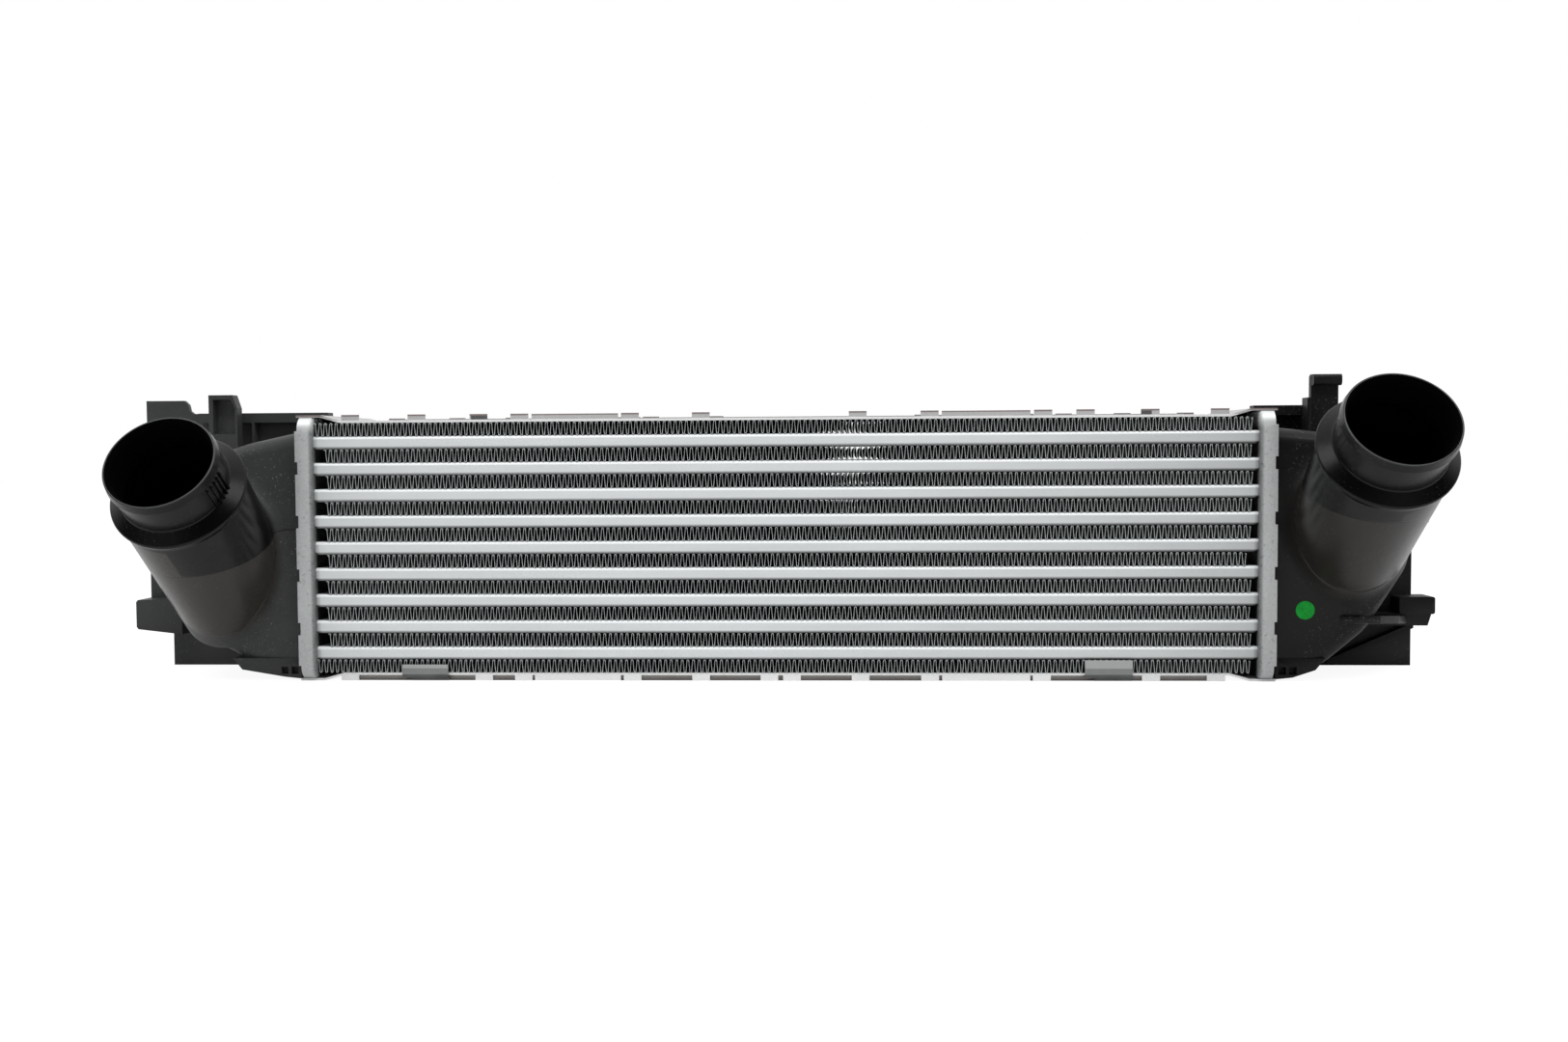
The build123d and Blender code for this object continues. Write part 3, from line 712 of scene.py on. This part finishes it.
print("louvres:", len(depth_stops) - 2, "steps of", round(louvre_step / MM, 2), "mm from front to back")

# %% [markdown]
# ## Every row its own
# A strip is cut after so many waves, and may then be pulled a little longer, so each row starts and
# ends at a slightly different place. The outer two reach nearer to the left header. A Solidify
# modifier turns the surface into sheet, and each row stands for the plainer one of the CAD model.

# %% Fold the rows
row_count = 10
crest_lean = 0.35  # of the knock, where a fold meets the tubes
merge_waves = 0.02 * MM


def fin_row(number):
    """One folded strip with its louvres, in the place of the CAD model's row."""
    low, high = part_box(f"fin_row_{number}")
    height, depth = high[2] - low[2], high[1] - low[1]
    inner = 1 < number < row_count
    phase = (number * 0.37 % 1.0) * 1.2 * MM
    right_reach = min(1.0 + number * 0.77 % 1.8, 2.2) * MM if inner else 0
    left_reach = 0 if inner else 3.0 * MM
    count = int((high[0] + right_reach + left_reach - low[0] - phase) / wave_pitch)
    bm = bmesh.new()
    wave = draw_wave(bm, height)
    for copy in range(1, count):
        verts = points_in(bmesh.ops.duplicate(bm, geom=wave)["geom"])
        bmesh.ops.translate(bm, verts=verts, vec=(wave_pitch * copy, 0, 0))
    bmesh.ops.remove_doubles(bm, verts=bm.verts, dist=merge_waves)
    add_louvres(bm, height, depth)
    centre = Vector((low[0] - left_reach + phase + wave_pitch / 4, low[1], (low[2] + high[2]) / 2))
    bmesh.ops.translate(bm, verts=bm.verts, vec=centre)
    for v in bm.verts:
        from_crest = 1 - abs(v.co.z - centre.z) / (height / 2)
        v.co.x += crushed(v.co.x, number) * (crest_lean + from_crest)
    row = make_piece(bm, f"fin_strip_{number}", fin_finish, smooth_angle=60.0)
    sheet = row.modifiers.new("sheet", "SOLIDIFY")
    sheet.thickness = strip_thickness
    sheet.offset = 0.0
    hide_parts(f"fin_row_{number}")
    print(row.name, count, "waves,", len(row.data.polygons), "sheet faces")


for number in range(1, row_count + 1):
    fin_row(number)

# %% [markdown]
# ## Lower flange and tank rail
# Two small forms complete the shapes. The lower side sheet is folded down along its front edge
# behind the tabs, where it stays in shade, and the outlet tank has a rib that carries its ledge
# round the curved skirt. A block is scaled to the flange, and the rib is an outline seen from
# above, extruded upwards and sinking towards the rear. Both get round edges.

# %% Lower flange
def soften_edges(bm, width):
    """Every edge of the block made round."""
    bmesh.ops.bevel(bm, geom=bm.edges[:], offset=width, offset_type="OFFSET", segments=2, profile=0.5,
                    affect="EDGES", clamp_overlap=True, material=-1)


flange_length = 2 * 0.92 * header_reach
flange_sheet = 1.0 * MM
flange_height = tab_height + 0.5 * MM
flange_back = 2.4 * MM  # behind the tubes' front faces
bm = bmesh.new()
block = bmesh.ops.create_cube(bm, size=1.0)["verts"]
bmesh.ops.scale(bm, verts=block, vec=(flange_length, flange_sheet, flange_height))
bmesh.ops.translate(bm, verts=block, vec=(0, -core_front + flange_back, low_edge + flange_height / 2))
soften_edges(bm, 0.2 * MM)
flange = make_piece(bm, "lower_flange", shaded_finish)
print(flange.name, len(flange.data.polygons), "faces")

# %% Tank rail
rail_outline = ((290, -36), (297, -42), (305, -42.5), (318, -37), (333, -22), (347, 4), (347, 12),
                (300, 12))  # x and y in mm, from the front wall round to under the ledge
rail_front = -42.5
rail_bottom, rail_height = 30.6 * MM, 4.2 * MM
rail_fall = 0.11  # how fast it sinks towards the rear
bm = bmesh.new()
corners = [(x * MM, y * MM, rail_bottom - rail_fall * (y - rail_front) * MM) for x, y in rail_outline]
lower_face = bm.faces.new([bm.verts.new(corner) for corner in corners])
raised = points_in(bmesh.ops.extrude_face_region(bm, geom=[lower_face])["geom"])
bmesh.ops.translate(bm, verts=raised, vec=(0, 0, rail_height))
bmesh.ops.recalc_face_normals(bm, faces=bm.faces)
soften_edges(bm, 0.6 * MM)
rail = make_piece(bm, "outlet_rail", tank_finishes["right"])
print(rail.name, len(rail.data.polygons), "faces")

# %% [markdown]
# ## Camera
# The camera stands 0.84 m in front of the core's middle and 12 cm above the floor, just under the
# core's top, and looks slightly down. So near, a wide lens shows the inner walls of both necks. It
# has no depth of field, so every fold stays sharp.

# %% Camera
camera_place = (0.0406, -0.8364, 0.1219)
camera_turn = (87.418, 0.362, 2.742)
focal_length = 34.18
camera_data = bpy.data.cameras.new("camera")
camera_data.sensor_width = 36.0
camera_data.sensor_fit = "HORIZONTAL"
camera_data.lens = focal_length
camera = bpy.data.objects.new("camera", camera_data)
camera.location = camera_place
camera.rotation_euler = [math.radians(angle) for angle in camera_turn]
bpy.context.scene.collection.objects.link(camera)
bpy.context.scene.camera = camera
print("camera:", focal_length, "mm lens,", round(camera.location.length, 2), "m from the origin")

# %% [markdown]
# ## The room
# The cooler stands on a white table before a white wall, and the rest of the room is dim. Black
# plastic shows that: its undersides mirror the table, and its upper faces stay black. So what a
# mirror surface sees is white behind and below, and dark in front and above. The camera sees plain
# white, and the even light on the object is a softer grey, so that nothing clips. The Light Path
# node tells the rays apart.

# %% World
room_light = 0.56
dark_side = 0.03


def white_when_seen(place):
    """1 for rays from the camera, off a glossy surface or through glass, and 0 for the others."""
    camera, glossy, through = (place.add("ShaderNodeLightPath", {}, out=name)
                               for name in ("Is Camera Ray", "Is Glossy Ray", "Is Transmission Ray"))
    return camera.maths("MAXIMUM", glossy).maths("MAXIMUM", through)


world = bpy.data.worlds.new("studio")
world.use_nodes = True
world.node_tree.nodes.clear()
start = Value(world.node_tree)
mirrored = start.add("ShaderNodeLightPath", {}, out="Is Glossy Ray")
direction = start.add("ShaderNodeTexCoord", {}, out="Generated")
behind = axis(direction, 1).between(-0.25, 0.15)
below = (-1.0 * axis(direction, 2)).between(0.0, 0.25)
reflected = dark_side + (1.0 - dark_side) * behind.maths("MAXIMUM", below)
shade = 1.0 - mirrored * (1.0 - reflected)
light = start.add("ShaderNodeBackground", {"Color": (1, 1, 1, 1), "Strength": room_light})
room = start.add("ShaderNodeBackground", {"Color": (1, 1, 1, 1), "Strength": shade})
both = start.add("ShaderNodeMixShader", {0: white_when_seen(start), 1: light, 2: room})
start.add("ShaderNodeOutputWorld", {"Surface": both})
bpy.context.scene.world = world
print("world:", len(world.node_tree.nodes), "nodes")

# %% [markdown]
# ## The table
# The floor is one large face. Most of what the camera sees of it is a plain glow, so that it runs
# into the white wall with no horizon, and a quarter is a white diffuse surface, which takes the
# object's shadow. To a glossy surface the glow is weaker, or the necks would turn grey.

# %% Floor
floor_finish, place = new_finish("floor")
mirrored = place.add("ShaderNodeLightPath", {}, out="Is Glossy Ray")
glowing = white_when_seen(place) * 0.75 - 0.5 * mirrored
table = place.add("ShaderNodeBsdfDiffuse", {"Color": (0.86, 0.86, 0.86, 1)})
glow = place.add("ShaderNodeEmission", {"Color": (1, 1, 1, 1), "Strength": 1.22})
both = place.add("ShaderNodeMixShader", {0: glowing, 1: table, 2: glow})
place.add("ShaderNodeOutputMaterial", {"Surface": both})

bm = bmesh.new()
bmesh.ops.create_grid(bm, x_segments=1, y_segments=1, size=6.0)
mesh = bpy.data.meshes.new("floor")
bm.to_mesh(mesh)
bm.free()
mesh.materials.append(floor_finish)
floor = bpy.data.objects.new("floor", mesh)
bpy.context.scene.collection.objects.link(floor)
print("floor:", len(mesh.polygons), "face,", len(floor_finish.node_tree.nodes), "nodes")

# %% [markdown]
# ## The lamp
# One long soft box hangs above and in front of the cooler. It is about three times as long as the
# cooler, so it draws one even light band along the top of every tube, from end to end, and along
# each round edge of the plastic.

# %% Lamp
lamp_place = Vector((0, -0.55, 1.25))
lamp_aim = Vector((0, -0.05, 0.08))
box_light = bpy.data.lights.new("overhead_box", "AREA")
box_light.shape = "RECTANGLE"
box_light.size, box_light.size_y = 2.3, 0.6
box_light.energy = 15
lamp = bpy.data.objects.new("overhead_box", box_light)
lamp.location = lamp_place
lamp.rotation_euler = (lamp_aim - lamp_place).to_track_quat("-Z", "Y").to_euler()
bpy.context.scene.collection.objects.link(lamp)
print("lamp:", box_light.energy, "W over", round(box_light.size, 2), "by", round(box_light.size_y, 2), "m")

# %% [markdown]
# ## View
# The Standard view shows each colour as it is written.

# %% View settings
bpy.context.scene.view_settings.view_transform = "Standard"
